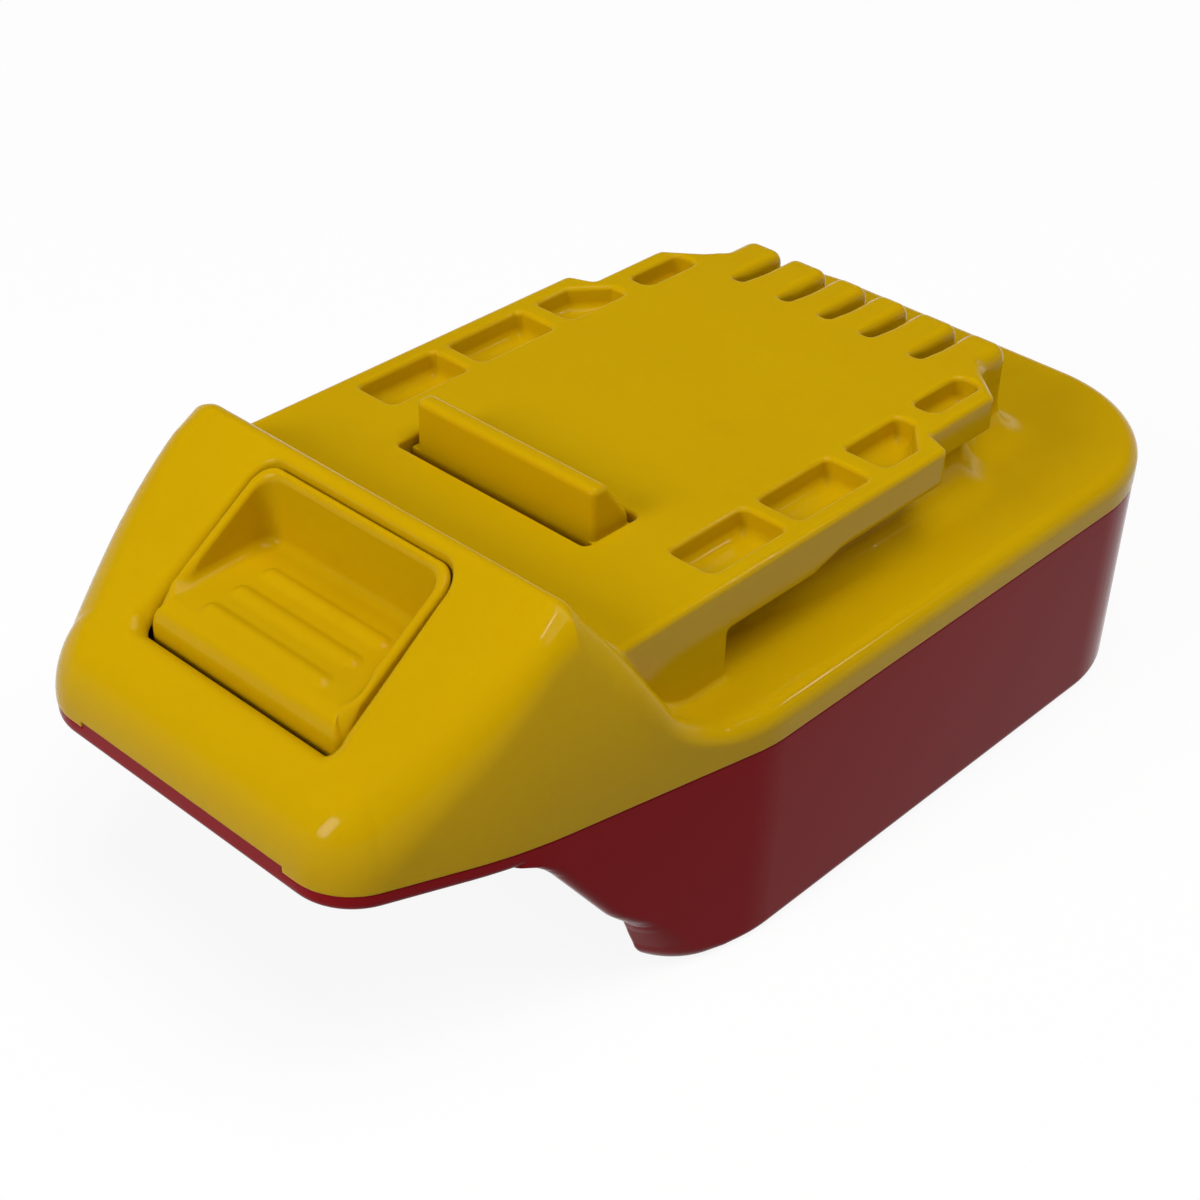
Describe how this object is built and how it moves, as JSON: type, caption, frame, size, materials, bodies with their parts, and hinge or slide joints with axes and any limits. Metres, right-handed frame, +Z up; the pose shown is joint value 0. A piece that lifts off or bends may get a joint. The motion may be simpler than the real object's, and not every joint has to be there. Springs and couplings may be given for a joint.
{
  "type": "tool battery adapter",
  "caption": "Adapter with a slide rail, contact comb and sprung release latch for a cordless tool on top and a slide-in battery socket below.",
  "frame": {"origin": "middle of the underside, on the plane the socket walls stand on", "axes": "+Z up through the rail plate, -Y toward the nose with the release button, +X to the right seen from behind the nose looking at the rear"},
  "size_m": [0.075, 0.133, 0.0509],
  "materials": {
    "yellow_shell": "glossy moulded plastic",
    "yellow_latch": "glossy moulded plastic",
    "red_shell": "glossy moulded plastic",
    "black_plastic": "matt moulded plastic",
    "contact_brass": "plated sheet metal",
    "blade_steel": "plated sheet metal",
    "spring_steel": "drawn wire",
    "screw_steel": "zinc plated",
    "board_green": "solder mask",
    "resistor_tan": "lacquered",
    "wire_red": "wire sleeve",
    "wire_black": "wire sleeve",
    "wire_white": "wire sleeve"
  },
  "bodies": {
    "body": {"upper_shell": "yellow_shell", "lower_shell": "red_shell", "left_latch_spring": "spring_steel", "right_latch_spring": "spring_steel", "contact_carrier": "black_plastic", "contact_clip_1": "contact_brass", "contact_clip_2": "contact_brass", "contact_clip_3": "contact_brass", "contact_clip_4": "contact_brass", "contact_clip_5": "contact_brass", "contact_board": "board_green", "identity_resistor": "resistor_tan", "socket_terminal_block": "black_plastic", "positive_blade": "blade_steel", "negative_blade": "blade_steel", "sense_blade": "blade_steel", "positive_wire": "wire_red", "negative_wire": "wire_black", "sense_wire": "wire_white", "shell_screws": "screw_steel", "carrier_screws": "screw_steel", "block_screws": "screw_steel"},
    "latch": {"release_latch": "yellow_latch"}
  },
  "joints": [
    {"name": "latch_press", "type": "slide", "parent": "body", "child": "latch", "axis": [0, 0, -1], "range_m": [0, 0.0053], "stiffness_N_per_m": 2000, "springref_m": -0.003, "deforming": ["left_latch_spring", "right_latch_spring"]}
  ]
}
